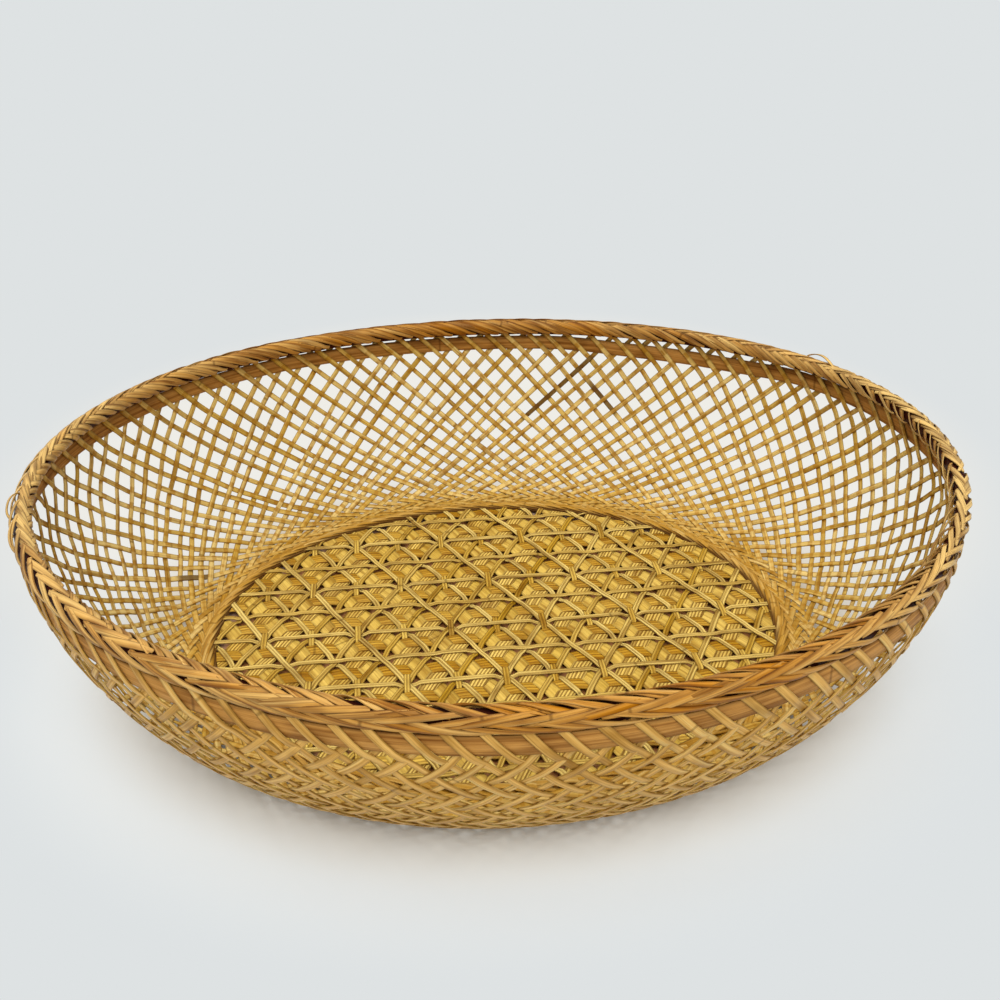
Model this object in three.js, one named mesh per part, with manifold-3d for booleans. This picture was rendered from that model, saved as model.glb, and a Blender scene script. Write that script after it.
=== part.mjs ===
// Oval bamboo basket: a flat openwork floor, a diamond-lattice wall and a plaited rim.
//
// Millimetres, +Z up, +X along the basket's length. The origin is on the table under the middle.
// Every wall strip runs from the rim down to the floor's edge and up to the rim again. The half that
// leans one way lies in the outer lay and the half that leans the other way in the inner lay. The two
// lays grip the floor mat's edge at the bottom and the rim band at the top.

import * as THREE from "three";
import * as BufferGeometryUtils from "three/addons/utils/BufferGeometryUtils.js";
import Module from "manifold-3d";

// Overall sizes
const overallLength = 330;
const overallWidth = 276;
const wallHeight = 71;
// The ends of the rim stand this much above its mean height, and the long sides as much below it.
const rimEndRise = 2.4;

// Floor, as seen from above between the inner edges of the base bundle
const floorLength = 217;
const floorWidth = 173;

// Wall profile: a curve that leaves the flat base bundle at footAngle and reaches the rim at rimAngle,
// both in degrees from the table. The reaches are how far the curve keeps to each direction.
const footAngle = 9;
const footReach = 15;
const rimAngle = 100;
const rimReach = 20.5;

// Wall strips
const fansPerLay = 4;
const stripsPerFan = 24;
const stripWidth = 2.4;
const stripThickness = 0.6;
const stripSideGap = 0.9;
const bundleThickness = 0.8;
const stripSteps = 4;
// Equal angles crowd the strips at the ends of an oval. This many radians move them towards an even
// spacing along the rim.
const stripEvening = 0.03;

// Rim band and plait
const bandHeight = 6.5;
const bandThickness = 1;
const bandClearance = 0.45;
const plaitWidth = 7.2;
const plaitHeight = 8.6;
const plaitInset = 1.4;
const rimSteps = 64;

// Floor mat: how many rows of crossings go across its width, and how many ties along its length
const matRows = 11;
const matTies = 12;
const narrowStripWidth = 2.4;
const wideStripWidth = 6.4;
const matStripThickness = 0.4;
const matGrip = 7;
const matEdgeWidth = 5;
const matEdgeThickness = 0.5;
const matEdgeSteps = 40;
const matShiftX = -0.8;
const matShiftY = -1;
const shortestMatStrip = 20;

// Gap between pieces that touch
const seatGap = 0.3;

// Values that follow from the sizes above
const stripCount = fansPerLay * stripsPerFan;
const cellAngle = (2 * Math.PI) / stripCount;
const matLayers = 4;
const matLayerPitch = matEdgeThickness + seatGap;
const baseSpread = bundleThickness + seatGap + matLayers * matLayerPitch;
const rimSpread = bandThickness + stripThickness + 2 * bandClearance;
const baseMiddle = (bundleThickness + baseSpread) / 2;
const wallRise = wallHeight - baseMiddle;
const floorHalfLength = floorLength / 2;
const floorHalfWidth = floorWidth / 2;
const plaitHalfLength = (overallLength - plaitWidth) / 2;
const plaitHalfWidth = (overallWidth - plaitWidth) / 2;
const wallHalfLength = plaitHalfLength + plaitInset;
const wallHalfWidth = plaitHalfWidth + plaitInset;
const lengthRun = wallHalfLength - floorHalfLength;
const widthRun = wallHalfWidth - floorHalfWidth;
const meanRun = (lengthRun + widthRun) / 2;
const matRowPitch = floorWidth / matRows;
const matTiePitch = floorLength / matTies;
const matSlant = Math.atan2(matRowPitch, matTiePitch / 2);
const matSlantPitch = matTiePitch * Math.sin(matSlant);
const matHalfLength = floorHalfLength + matGrip;
const matHalfWidth = floorHalfWidth + matGrip;

// A strip touches the floor's edge with its inner side, so its middle is tangent half a width farther
// out. Neighbouring strips lie on one another there, as the base bundle, and come clear of each other
// at bundleRun from the floor's edge, measured where the basket is narrowest.
const tangentRun = stripWidth / 2;
const tangentRadius = meanRadius(tangentRun);
const clearSpacing = (stripWidth + stripSideGap) / cellAngle;
const bundleRun = Math.hypot(floorHalfWidth + tangentRun, clearSpacing) - floorHalfWidth;

const wasm = await Module();
wasm.setup();

// Colours of split bamboo
const bamboo = {
  wall: 0xc9a25c,
  band: 0xbf9262,
  plait: 0xcfa653,
  matWide: 0xc9a740,
  matNarrow: 0xd4b45a,
  matTie: 0xb8862f,
};

function bambooMaterial(colour) {
  return new THREE.MeshStandardMaterial({ color: colour, roughness: 0.5, metalness: 0 });
}

// Solids

// Joins a row of sections into one closed solid. Each section lists its corners in the same order.
// A closed row comes back to its first section, and an open one gets a flat cap at each end.
function sweptSolid(sections, closed) {
  const corners = sections[0].length;
  const positions = sections.flat().flatMap((point) => [point.x, point.y, point.z]);
  const faces = [];
  const spans = closed ? sections.length : sections.length - 1;
  for (let row = 0; row < spans; row += 1) {
    const next = (row + 1) % sections.length;
    for (let corner = 0; corner < corners; corner += 1) {
      const beside = (corner + 1) % corners;
      addQuad(faces, row * corners + corner, row * corners + beside, next * corners + beside, next * corners + corner);
    }
  }
  if (!closed) {
    const last = (sections.length - 1) * corners;
    for (let corner = 0; corner < corners / 2 - 1; corner += 1) {
      const far = corners - 1 - corner;
      addQuad(faces, corner, far, far - 1, corner + 1);
      addQuad(faces, last + corner, last + corner + 1, last + far - 1, last + far);
    }
  }
  return outwardGeometry(positions, faces);
}

function addQuad(faces, a, b, c, d) {
  faces.push([a, b, c], [a, c, d]);
}

// Turns the faces outward, which is where the signed volume comes out positive.
function outwardGeometry(positions, faces) {
  const corner = (index) => new THREE.Vector3().fromArray(positions, index * 3);
  let volume = 0;
  for (const [a, b, c] of faces) {
    volume += corner(a).dot(corner(b).cross(corner(c)));
  }
  const ordered = volume > 0 ? faces : faces.map(([a, b, c]) => [a, c, b]);
  const geometry = new THREE.BufferGeometry();
  geometry.setAttribute("position", new THREE.Float32BufferAttribute(positions, 3));
  geometry.setIndex(ordered.flat());
  return geometry;
}

function toManifold(geometry) {
  const bare = geometry.clone();
  bare.deleteAttribute("normal");
  bare.deleteAttribute("uv");
  const merged = BufferGeometryUtils.mergeVertices(bare, 1e-4);
  const vertProperties = new Float32Array(merged.attributes.position.array);
  const triVerts = new Uint32Array(merged.index.array);
  return new wasm.Manifold(new wasm.Mesh({ numProp: 3, vertProperties, triVerts }));
}

// Joins overlapping solids into one.
function joined(geometries) {
  const whole = geometries.map(toManifold).reduce((sum, solid) => sum.add(solid));
  const mesh = whole.getMesh();
  const geometry = new THREE.BufferGeometry();
  geometry.setAttribute("position", new THREE.BufferAttribute(new Float32Array(mesh.vertProperties), 3));
  geometry.setIndex(new THREE.BufferAttribute(new Uint32Array(mesh.triVerts), 1));
  return geometry;
}

const basket = new THREE.Group();

function addPiece(name, geometry, colour) {
  const mesh = new THREE.Mesh(geometry, bambooMaterial(colour));
  mesh.name = name;
  basket.add(mesh);
  return mesh;
}

// Wall surface

// Samples of the wall's profile from the floor's edge to the rim. Each one holds its run outward from
// the floor's edge, its rise, its direction, its length along the profile, the angle that a strip has
// swept round the basket by then, and that strip's own length.
function profileSamples() {
  const samples = [];
  const flatSteps = 40;
  const curveSteps = 200;
  for (let step = 0; step < flatSteps; step += 1) {
    samples.push({ run: (bundleRun * step) / flatSteps, rise: 0 });
  }
  const footTurn = THREE.MathUtils.degToRad(footAngle);
  const rimTurn = THREE.MathUtils.degToRad(rimAngle);
  const foot = new THREE.Vector2(bundleRun, 0);
  const rim = new THREE.Vector2(meanRun, wallRise);
  const curve = new THREE.CubicBezierCurve(
    foot,
    new THREE.Vector2(Math.cos(footTurn), Math.sin(footTurn)).multiplyScalar(footReach).add(foot),
    new THREE.Vector2(-Math.cos(rimTurn), -Math.sin(rimTurn)).multiplyScalar(rimReach).add(rim),
    rim,
  );
  for (let step = 0; step <= curveSteps; step += 1) {
    const point = curve.getPoint(step / curveSteps);
    samples.push({ run: point.x, rise: point.y });
  }
  addLengths(samples);
  return samples;
}

function meanRadius(run) {
  return (floorHalfLength + floorHalfWidth) / 2 + run;
}

// On a round bowl a taut strip keeps radius times the sine of its lean constant. This follows that rule.
function addLengths(samples) {
  samples.forEach((sample, index) => {
    const before = samples[Math.max(index - 1, 0)];
    const after = samples[Math.min(index + 1, samples.length - 1)];
    const direction = new THREE.Vector2(after.run - before.run, after.rise - before.rise).normalize();
    const step = Math.hypot(sample.run - before.run, sample.rise - before.rise);
    const turned = angleFromTangent(sample.run) - angleFromTangent(before.run);
    const outward = sample.run - before.run;
    const swept = outward > 0 ? (turned * step) / outward : 0;
    sample.direction = direction;
    sample.length = index > 0 ? before.length + step : 0;
    sample.sweep = index > 0 ? before.sweep + swept : 0;
    sample.path = index > 0 ? before.path + Math.hypot(step, swept * meanRadius(sample.run)) : 0;
  });
}

function angleFromTangent(run) {
  return Math.acos(Math.min(tangentRadius / meanRadius(run), 1));
}

const profile = profileSamples();
const profileEnd = profile[profile.length - 1];

// The sample where one of its values reaches the wanted amount
function sampleWhere(key, wanted) {
  const after = profile.findIndex((sample) => sample[key] >= wanted);
  if (after <= 0) {
    return after === 0 ? profile[0] : profileEnd;
  }
  const low = profile[after - 1];
  const high = profile[after];
  const share = (wanted - low[key]) / (high[key] - low[key]);
  const between = { direction: low.direction.clone().lerp(high.direction, share).normalize() };
  for (const name of ["run", "rise", "length", "sweep", "path"]) {
    between[name] = THREE.MathUtils.lerp(low[name], high[name], share);
  }
  return between;
}

// Point, outward normal and rim direction of the wall's middle surface at an angle and a profile sample
function wallFrame(angle, sample) {
  const evenAngle = angle + stripEvening * Math.sin(2 * angle);
  const share = sample.run / meanRun;
  const halfLength = floorHalfLength + lengthRun * share;
  const halfWidth = floorHalfWidth + widthRun * share;
  const lift = (rimEndRise / wallRise) * Math.cos(2 * evenAngle);
  const point = new THREE.Vector3(
    halfLength * Math.cos(evenAngle),
    halfWidth * Math.sin(evenAngle),
    baseMiddle + sample.rise * (1 + lift),
  );
  const along = new THREE.Vector3(
    -halfLength * Math.sin(evenAngle),
    halfWidth * Math.cos(evenAngle),
    -2 * sample.rise * (rimEndRise / wallRise) * Math.sin(2 * evenAngle),
  ).normalize();
  const climb = new THREE.Vector3(
    (lengthRun / meanRun) * sample.direction.x * Math.cos(evenAngle),
    (widthRun / meanRun) * sample.direction.x * Math.sin(evenAngle),
    sample.direction.y * (1 + lift),
  ).normalize();
  const outward = new THREE.Vector3().crossVectors(along, climb).normalize();
  return { point, along, outward };
}

// Half the distance between the middles of the two lays, which narrows from the base bundle to the rim
function layOffset(sample) {
  const climbed = Math.max(sample.length - bundleRun, 0) / (profileEnd.length - bundleRun);
  return THREE.MathUtils.lerp(baseSpread, rimSpread, climbed) / 2;
}

// Wall strips

// The base bundle lies flat on the table from the floor's edge out to the strips' roots.
const floorEdge = profile[0];
const stripRoot = sampleWhere("run", bundleRun);
const bundleEdge = { ...stripRoot, direction: floorEdge.direction };
const bandFoot = sampleWhere("rise", wallRise - bandHeight);

// The two lays: side is which side of the middle surface it lies on, and turn is which way its strips
// go round the basket as they climb, where +1 is counter-clockwise seen from above. A fan of the inner
// lay holds the other halves of the strips in the outer fan with its number.
const firstRoot = -Math.PI / 4;
const outerLay = { name: "wall_outer_strips", side: 1, turn: -1, start: firstRoot };
const innerLay = { name: "wall_inner_strips", side: -1, turn: 1, start: firstRoot + 2 * stripRoot.sweep };

function stripStations() {
  const stations = [];
  for (let step = 0; step <= stripSteps; step += 1) {
    stations.push(sampleWhere("path", THREE.MathUtils.lerp(stripRoot.path, bandFoot.path, step / stripSteps)));
  }
  stations.push(profileEnd);
  return stations;
}

const stations = stripStations();

// One strip's middle line in its lay, from the base bundle up to the plait
function stripFrames(lay, rootAngle) {
  return stations.map((sample) => {
    const angle = rootAngle + lay.turn * (sample.sweep - stripRoot.sweep);
    const frame = wallFrame(angle, sample);
    frame.level = frame.point.z;
    frame.point.addScaledVector(frame.outward, lay.side * layOffset(sample));
    return frame;
  });
}

// Direction across a strip at one of its frames, toward growing angles
function stripAcross(frames, index) {
  const before = frames[Math.max(index - 1, 0)].point;
  const after = frames[Math.min(index + 1, frames.length - 1)].point;
  const heading = after.clone().sub(before).normalize();
  const across = new THREE.Vector3().crossVectors(heading, frames[index].outward).normalize();
  return across.multiplyScalar(Math.sign(across.dot(frames[index].along)));
}

// The corners of a strip at each frame after its root. The top is cut level with the rim, so that the
// plait seats on it.
function stripSections(frames) {
  return frames.slice(1).map((frame, step) => {
    const across = stripAcross(frames, step + 1);
    const isTop = step + 2 === frames.length;
    if (isTop) {
      across.copy(frame.along).divideScalar(across.dot(frame.along));
    }
    across.multiplyScalar(stripWidth / 2);
    const through = frame.outward.clone().multiplyScalar(stripThickness / 2);
    const section = [
      frame.point.clone().sub(across).add(through),
      frame.point.clone().sub(across).sub(through),
      frame.point.clone().add(across).sub(through),
      frame.point.clone().add(across).add(through),
    ];
    return isTop ? section.map((corner) => corner.setZ(frame.level)) : section;
  });
}

// Half the angle that a strip's root takes up on the bundle's edge, where it leaves at a slant
function rootHalfAngle(frames, rootAngle) {
  const nudge = 1e-3;
  const beside = wallFrame(rootAngle + nudge, stripRoot).point;
  const speed = beside.distanceTo(wallFrame(rootAngle, stripRoot).point) / nudge;
  const slant = stripAcross(frames, 0).dot(frames[0].along);
  return stripWidth / 2 / slant / speed;
}

// The corners of the base bundle at an angle: below and above its outer edge, then its inner edge
function bundleSection(lay, angle) {
  const corner = (sample, face) => {
    const frame = wallFrame(angle, sample);
    const depth = lay.side * layOffset(sample) + (face * bundleThickness) / 2;
    return frame.point.addScaledVector(frame.outward, depth);
  };
  return [corner(bundleEdge, 1), corner(bundleEdge, -1), corner(floorEdge, -1), corner(floorEdge, 1)];
}

// A fan is a stretch of the base bundle with the strips that climb from its outer edge. Each strip
// grows out of the bundle's outer face between two of its sections.
function fanSolid(lay, startAngle) {
  const gapAngle = seatGap / floorHalfWidth;
  const endAngle = startAngle + stripsPerFan * cellAngle;
  const sections = [bundleSection(lay, startAngle + gapAngle / 2)];
  const strips = [];
  for (let strip = 0; strip < stripsPerFan; strip += 1) {
    const rootAngle = startAngle + (strip + 0.5) * cellAngle;
    const frames = stripFrames(lay, rootAngle);
    const half = rootHalfAngle(frames, rootAngle);
    strips.push({ section: sections.length, frames });
    sections.push(bundleSection(lay, rootAngle - half), bundleSection(lay, rootAngle + half));
  }
  sections.push(bundleSection(lay, endAngle - gapAngle / 2));

  const points = sections.flat();
  const faces = [];
  const rooted = new Set(strips.map((strip) => strip.section));
  for (let row = 0; row + 1 < sections.length; row += 1) {
    const here = [0, 1, 2, 3].map((corner) => row * 4 + corner);
    const next = here.map((corner) => corner + 4);
    addTube(faces, here, next, rooted.has(row) ? 1 : 0);
  }
  const last = (sections.length - 1) * 4;
  addQuad(faces, 3, 2, 1, 0);
  addQuad(faces, last, last + 1, last + 2, last + 3);
  for (const strip of strips) {
    const first = strip.section * 4;
    let root = [first, first + 1, first + 5, first + 4];
    for (const section of stripSections(strip.frames)) {
      const next = section.map((point) => points.push(point) - 1);
      addTube(faces, root, next, 0);
      root = next;
    }
    addQuad(faces, ...root);
  }
  return outwardGeometry(points.flatMap((point) => [point.x, point.y, point.z]), faces);
}

// The sides between two four-cornered sections, from a given side on
function addTube(faces, here, next, firstSide) {
  for (let side = firstSide; side < 4; side += 1) {
    const beside = (side + 1) % 4;
    addQuad(faces, here[side], here[beside], next[beside], next[side]);
  }
}

function addWall() {
  for (const lay of [outerLay, innerLay]) {
    for (let index = 0; index < fansPerLay; index += 1) {
      const startAngle = lay.start + index * stripsPerFan * cellAngle;
      addPiece(`${lay.name}_${index + 1}`, fanSolid(lay, startAngle), bamboo.wall);
    }
  }
}

// Rim band: one flat hoop between the two lays, just under the plait
function addBand() {
  const samples = [bandFoot, profileEnd];
  const sections = [];
  for (let step = 0; step < rimSteps; step += 1) {
    const angle = (2 * Math.PI * step) / rimSteps;
    const edge = (face) => samples.map((sample) => {
      const frame = wallFrame(angle, sample);
      return frame.point.addScaledVector(frame.outward, (face * bandThickness) / 2);
    });
    sections.push([...edge(1), ...edge(-1).reverse()]);
  }
  addPiece("rim_band", sweptSolid(sections, true), bamboo.band);
}

// Rim plait: three rows of strip ends along the top edge

// A ring with one section, drawn as corners of distance outward from the plait's middle and height
function plaitRow(name, corners) {
  const sections = [];
  for (let step = 0; step < rimSteps; step += 1) {
    const angle = (2 * Math.PI * step) / rimSteps;
    const outward = new THREE.Vector3(
      Math.cos(angle) / plaitHalfLength,
      Math.sin(angle) / plaitHalfWidth,
      0,
    ).normalize();
    const middle = new THREE.Vector3(
      plaitHalfLength * Math.cos(angle),
      plaitHalfWidth * Math.sin(angle),
      wallHeight + seatGap + rimEndRise * Math.cos(2 * angle),
    );
    sections.push(corners.map(([reach, height]) => {
      const point = middle.clone().addScaledVector(outward, reach);
      point.z += height;
      return point;
    }));
  }
  addPiece(name, sweptSolid(sections, true), bamboo.plait);
}

function addPlait() {
  const half = plaitWidth / 2;
  const split = seatGap / 2;
  const shoulder = plaitHeight * 0.55;
  const sideRow = [
    [split, 0],
    [half * 0.75, 0],
    [half, shoulder * 0.4],
    [half, shoulder],
    [split, shoulder],
  ];
  const crownFoot = shoulder + seatGap;
  const crownHeight = plaitHeight - crownFoot;
  const crownRow = [
    [-half * 0.8, crownFoot],
    [half * 0.8, crownFoot],
    [half * 0.62, crownFoot + crownHeight * 0.7],
    [half * 0.25, plaitHeight],
    [-half * 0.25, plaitHeight],
    [-half * 0.62, crownFoot + crownHeight * 0.7],
  ];
  plaitRow("plait_outer_row", sideRow);
  plaitRow("plait_crown_row", crownRow);
  plaitRow("plait_inner_row", sideRow.map(([reach, height]) => [-reach, height]));
}

// Floor mat

// Height of the middle of a mat layer, counted up from the lower side of the base bundle
function matLayerHeight(layer) {
  return bundleThickness + seatGap + matEdgeThickness / 2 + layer * matLayerPitch;
}

// Where a straight strip of the mat starts and ends, measured along its heading from the point nearest
// the middle, with all four of its corners at least an inset inside the mat's edge. A strip that misses
// the mat comes out with no length.
function stripSpan(distance, heading, width, inset) {
  const cos = Math.cos(heading);
  const sin = Math.sin(heading);
  const halfLength = matHalfLength - inset;
  const halfWidth = matHalfWidth - inset;
  const spans = [distance - width / 2, distance + width / 2].map((offset) => {
    const a = (cos / halfLength) ** 2 + (sin / halfWidth) ** 2;
    const b = offset * sin * cos * (1 / halfWidth ** 2 - 1 / halfLength ** 2);
    const c = ((offset * sin) / halfLength) ** 2 + ((offset * cos) / halfWidth) ** 2 - 1;
    const reach = Math.sqrt(Math.max(b * b - a * c, 0));
    return { start: (-b - reach) / a, end: (-b + reach) / a };
  });
  const start = Math.max(...spans.map((span) => span.start));
  const end = Math.min(...spans.map((span) => span.end));
  return { start, end };
}

// The straight strips of one direction and width. Their distances from the middle step by the pitch.
function matStrips({ heading, pitch, phase, width, layer, inset = 0 }) {
  const shift = -matShiftX * Math.sin(heading) + matShiftY * Math.cos(heading);
  const count = Math.ceil(matHalfLength / pitch) + 1;
  const strips = [];
  for (let row = -count; row <= count; row += 1) {
    const distance = (row + phase) * pitch + shift;
    const { start, end } = stripSpan(distance, heading, width, inset);
    if (end - start >= shortestMatStrip) {
      const geometry = new THREE.BoxGeometry(end - start, width, matStripThickness);
      geometry.translate((start + end) / 2, distance, 0);
      geometry.rotateZ(heading);
      geometry.translate(0, 0, matLayerHeight(layer));
      strips.push(geometry);
    }
  }
  return strips;
}

// Where the ends of a slanting layer's strips are pressed together between the lays
function matEdge(layer) {
  const sections = [];
  for (let step = 0; step < matEdgeSteps; step += 1) {
    const angle = (2 * Math.PI * step) / matEdgeSteps;
    const corner = (inset, face) => new THREE.Vector3(
      (matHalfLength - inset) * Math.cos(angle),
      (matHalfWidth - inset) * Math.sin(angle),
      matLayerHeight(layer) + (face * matEdgeThickness) / 2,
    );
    sections.push([corner(0, -1), corner(0, 1), corner(matEdgeWidth, 1), corner(matEdgeWidth, -1)]);
  }
  return sweptSolid(sections, true);
}

function addSlantingLayer(name, heading, layer) {
  const inset = matEdgeWidth / 3;
  const narrow = { heading, pitch: matSlantPitch, phase: 0, width: narrowStripWidth, layer, inset };
  const wide = { heading, pitch: matSlantPitch, phase: 0.5, width: wideStripWidth, layer, inset };
  addPiece(name, joined([matEdge(layer), ...matStrips(narrow), ...matStrips(wide)]), bamboo.matWide);
}

function addNumbered(name, geometries, colour) {
  geometries.forEach((geometry, index) => {
    addPiece(`${name}_${String(index + 1).padStart(2, "0")}`, geometry, colour);
  });
}

function addMat() {
  addSlantingLayer("mat_rising_strips", matSlant, 0);
  addSlantingLayer("mat_falling_strips", -matSlant, 1);
  const narrow = { heading: 0, pitch: matRowPitch, phase: 0, width: narrowStripWidth, layer: 2 };
  const wide = { heading: 0, pitch: matRowPitch, phase: 0.5, width: wideStripWidth, layer: 2 };
  const tie = { heading: Math.PI / 2, pitch: matTiePitch, phase: 0, width: narrowStripWidth, layer: 3 };
  addNumbered("mat_long_narrow", matStrips(narrow), bamboo.matNarrow);
  addNumbered("mat_long_wide", matStrips(wide), bamboo.matWide);
  addNumbered("mat_cross_tie", matStrips(tie), bamboo.matTie);
}

addWall();
addBand();
addPlait();
addMat();

export default basket;
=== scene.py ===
# Bamboo basket: the looks of the woven wall, rim band, rim plait and floor mat.
# Lengths are in millimetres until a mesh is made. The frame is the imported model's own.

import bpy
import numpy as np
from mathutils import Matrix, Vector


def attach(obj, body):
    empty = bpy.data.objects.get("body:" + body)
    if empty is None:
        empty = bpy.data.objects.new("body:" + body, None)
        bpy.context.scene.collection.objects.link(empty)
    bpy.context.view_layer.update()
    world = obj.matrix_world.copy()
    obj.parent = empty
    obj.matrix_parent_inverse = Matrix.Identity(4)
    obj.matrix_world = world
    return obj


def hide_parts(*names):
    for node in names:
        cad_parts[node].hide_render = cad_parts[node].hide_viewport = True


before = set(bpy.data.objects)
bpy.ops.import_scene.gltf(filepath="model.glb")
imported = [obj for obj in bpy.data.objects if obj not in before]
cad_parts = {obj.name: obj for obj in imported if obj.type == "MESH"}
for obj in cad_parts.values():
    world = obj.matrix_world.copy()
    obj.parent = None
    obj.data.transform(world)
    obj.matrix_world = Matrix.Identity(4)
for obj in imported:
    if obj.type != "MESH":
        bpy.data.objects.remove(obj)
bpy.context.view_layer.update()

MM = 0.001

# The camera's place and angle follow from a fit to the outlines of the rim, floor and bottom. It looks down
# by the pitch, and its lens is for a sensor of this width.
CAMERA_PLACE = (-39.5, -339.2, 258.7)
CAMERA_PITCH = 30.35
CAMERA_HEADING = -6.76
CAMERA_LENS = 38.7
CAMERA_SENSOR = 36

# Basket sizes, as in the solids
OVERALL_LENGTH = 330.0
OVERALL_WIDTH = 276.0
WALL_HEIGHT = 71.0
RIM_END_RISE = 2.4
FLOOR_LENGTH = 217.0
FLOOR_WIDTH = 173.0
FOOT_ANGLE = np.radians(9)
FOOT_REACH = 15.0
RIM_ANGLE = np.radians(100)
RIM_REACH = 20.5
STRIP_COUNT = 96
FANS = 4
STRIP_WIDTH = 2.4
STRIP_SIDE_GAP = 0.9
STRIP_EVENING = 0.03
BUNDLE_THICKNESS = 0.8
BASE_SPREAD = 4.3
BAND_HEIGHT = 6.5
PLAIT_WIDTH = 7.2
PLAIT_HEIGHT = 8.6
PLAIT_INSET = 1.4
SEAT_GAP = 0.3
MAT_ROWS = 11
MAT_TIES = 12
MAT_GRIP = 7.0
MAT_SHIFT = (-0.8, -1.0)
NARROW_WIDTH = 2.4
WIDE_WIDTH = 6.4

# Values that follow from the sizes
CELL = 2 * np.pi / STRIP_COUNT
BASE_MIDDLE = (BUNDLE_THICKNESS + BASE_SPREAD) / 2
WALL_RISE = WALL_HEIGHT - BASE_MIDDLE
FLOOR_HALF = np.array([FLOOR_LENGTH, FLOOR_WIDTH]) / 2
PLAIT_HALF = (np.array([OVERALL_LENGTH, OVERALL_WIDTH]) - PLAIT_WIDTH) / 2
WALL_HALF = PLAIT_HALF + PLAIT_INSET
HALF_RUN = WALL_HALF - FLOOR_HALF
MEAN_RUN = HALF_RUN.mean()
MEAN_RADIUS = FLOOR_HALF.mean()
TANGENT_RADIUS = MEAN_RADIUS + STRIP_WIDTH / 2
# Across the width, this is the distance from the middle at which the strips no longer touch side by side
# and the bundle ends.
BUNDLE_EDGE = np.hypot(FLOOR_HALF[1] + STRIP_WIDTH / 2, (STRIP_WIDTH + STRIP_SIDE_GAP) / CELL)
BUNDLE_RUN = BUNDLE_EDGE - FLOOR_HALF[1]
MAT_ROW = FLOOR_WIDTH / MAT_ROWS
MAT_TIE = FLOOR_LENGTH / MAT_TIES
MAT_SLANT = np.arctan2(MAT_ROW, MAT_TIE / 2)
# The mat's strips end halfway into the bundle's grip.
MAT_HALF = FLOOR_HALF + MAT_GRIP / 2

# How thick the strips are split: those of the wall and plait, and those of the floor mat
STRIP_THICKNESS = 0.42
MAT_THICKNESS = 0.36

chance = np.random.default_rng(96)


def ease(low, high, value):
    share = np.clip((value - low) / (high - low), 0, 1)
    return share * share * (3 - 2 * share)


def unit(vectors):
    return vectors / np.linalg.norm(vectors, axis=-1, keepdims=True)


# Places round the basket, in degrees
BACK = 90
LEFT_END = 180
FRONT = -90


# A smooth hump round one place on the rim. The place and its reach are in degrees.
def hump(angle, middle, reach):
    away = np.angle(np.exp(1j * (angle - np.radians(middle))))
    return np.exp(-(away / np.radians(reach)) ** 4)


# Split strips

# Corners across a strip, as (side, face) lengths from its middle. The bevel is a length, and the groove
# is the dent along the middle of a strip that is split to half its depth.
BEVEL = 0.16


def flat_section(half_width, half_thickness):
    side = half_width - BEVEL
    face = half_thickness - BEVEL * 0.8
    return [
        (-half_width, -face),
        (-half_width, face),
        (-side, half_thickness),
        (side, half_thickness),
        (half_width, face),
        (half_width, -face),
        (side, -half_thickness),
        (-side, -half_thickness),
    ]


def grooved_section(half_width, half_thickness):
    corners = flat_section(half_width, half_thickness)
    lip = half_width * 0.18
    groove = [(-lip, half_thickness), (0 * half_width, half_thickness * 0.1), (lip, half_thickness)]
    return corners[:3] + groove + corners[3:]


# One strip: its middle line, the way its outer face looks, its width and thickness, and its own tone, from
# 0 for the finish's pale colour to 1 for its middle colour, drawn by chance unless it is given. Smoke and
# shade is how dark it is painted, from 0 to 1: real smoke, and painted shade. Crossed counts the strips of
# the other lay that it has crossed.
class Strip:
    def __init__(self, points, outward, width, thickness, section=flat_section, closed=False, tone=None,
                 smoke_and_shade=0.0, crossed=0.5):
        points = np.asarray(points, float)
        if closed:
            heading = np.roll(points, -1, 0) - np.roll(points, 1, 0)
        else:
            heading = np.gradient(points, axis=0)
        heading = unit(heading)
        across = unit(np.cross(heading, outward))
        face = np.cross(across, heading)
        count = len(points)
        half_width = np.broadcast_to(np.asarray(width, float) / 2, count)
        half_thickness = np.broadcast_to(np.asarray(thickness, float) / 2, count)
        corners = section(half_width, half_thickness)
        sides = np.stack([np.broadcast_to(side, count) for side, _ in corners], axis=1)
        faces = np.stack([np.broadcast_to(through, count) for _, through in corners], axis=1)
        self.rings = points[:, None] + across[:, None] * sides[..., None] + face[:, None] * faces[..., None]
        steps = np.linalg.norm(np.diff(points, axis=0), axis=1)
        along = np.concatenate([[0], np.cumsum(steps)])[:, None] + 0 * sides
        self.place = np.stack([along, sides, sides / half_width[:, None]], axis=2)
        own_tone = chance.random() if tone is None else tone
        corner_smoke_and_shade = np.broadcast_to(smoke_and_shade, count)[:, None] + 0 * sides
        self.look = np.stack([own_tone + 0 * sides, corner_smoke_and_shade, faces / half_thickness[:, None]], axis=2)
        self.crossed = np.broadcast_to(crossed, count)[:, None] + 0 * sides
        self.closed = closed
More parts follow.
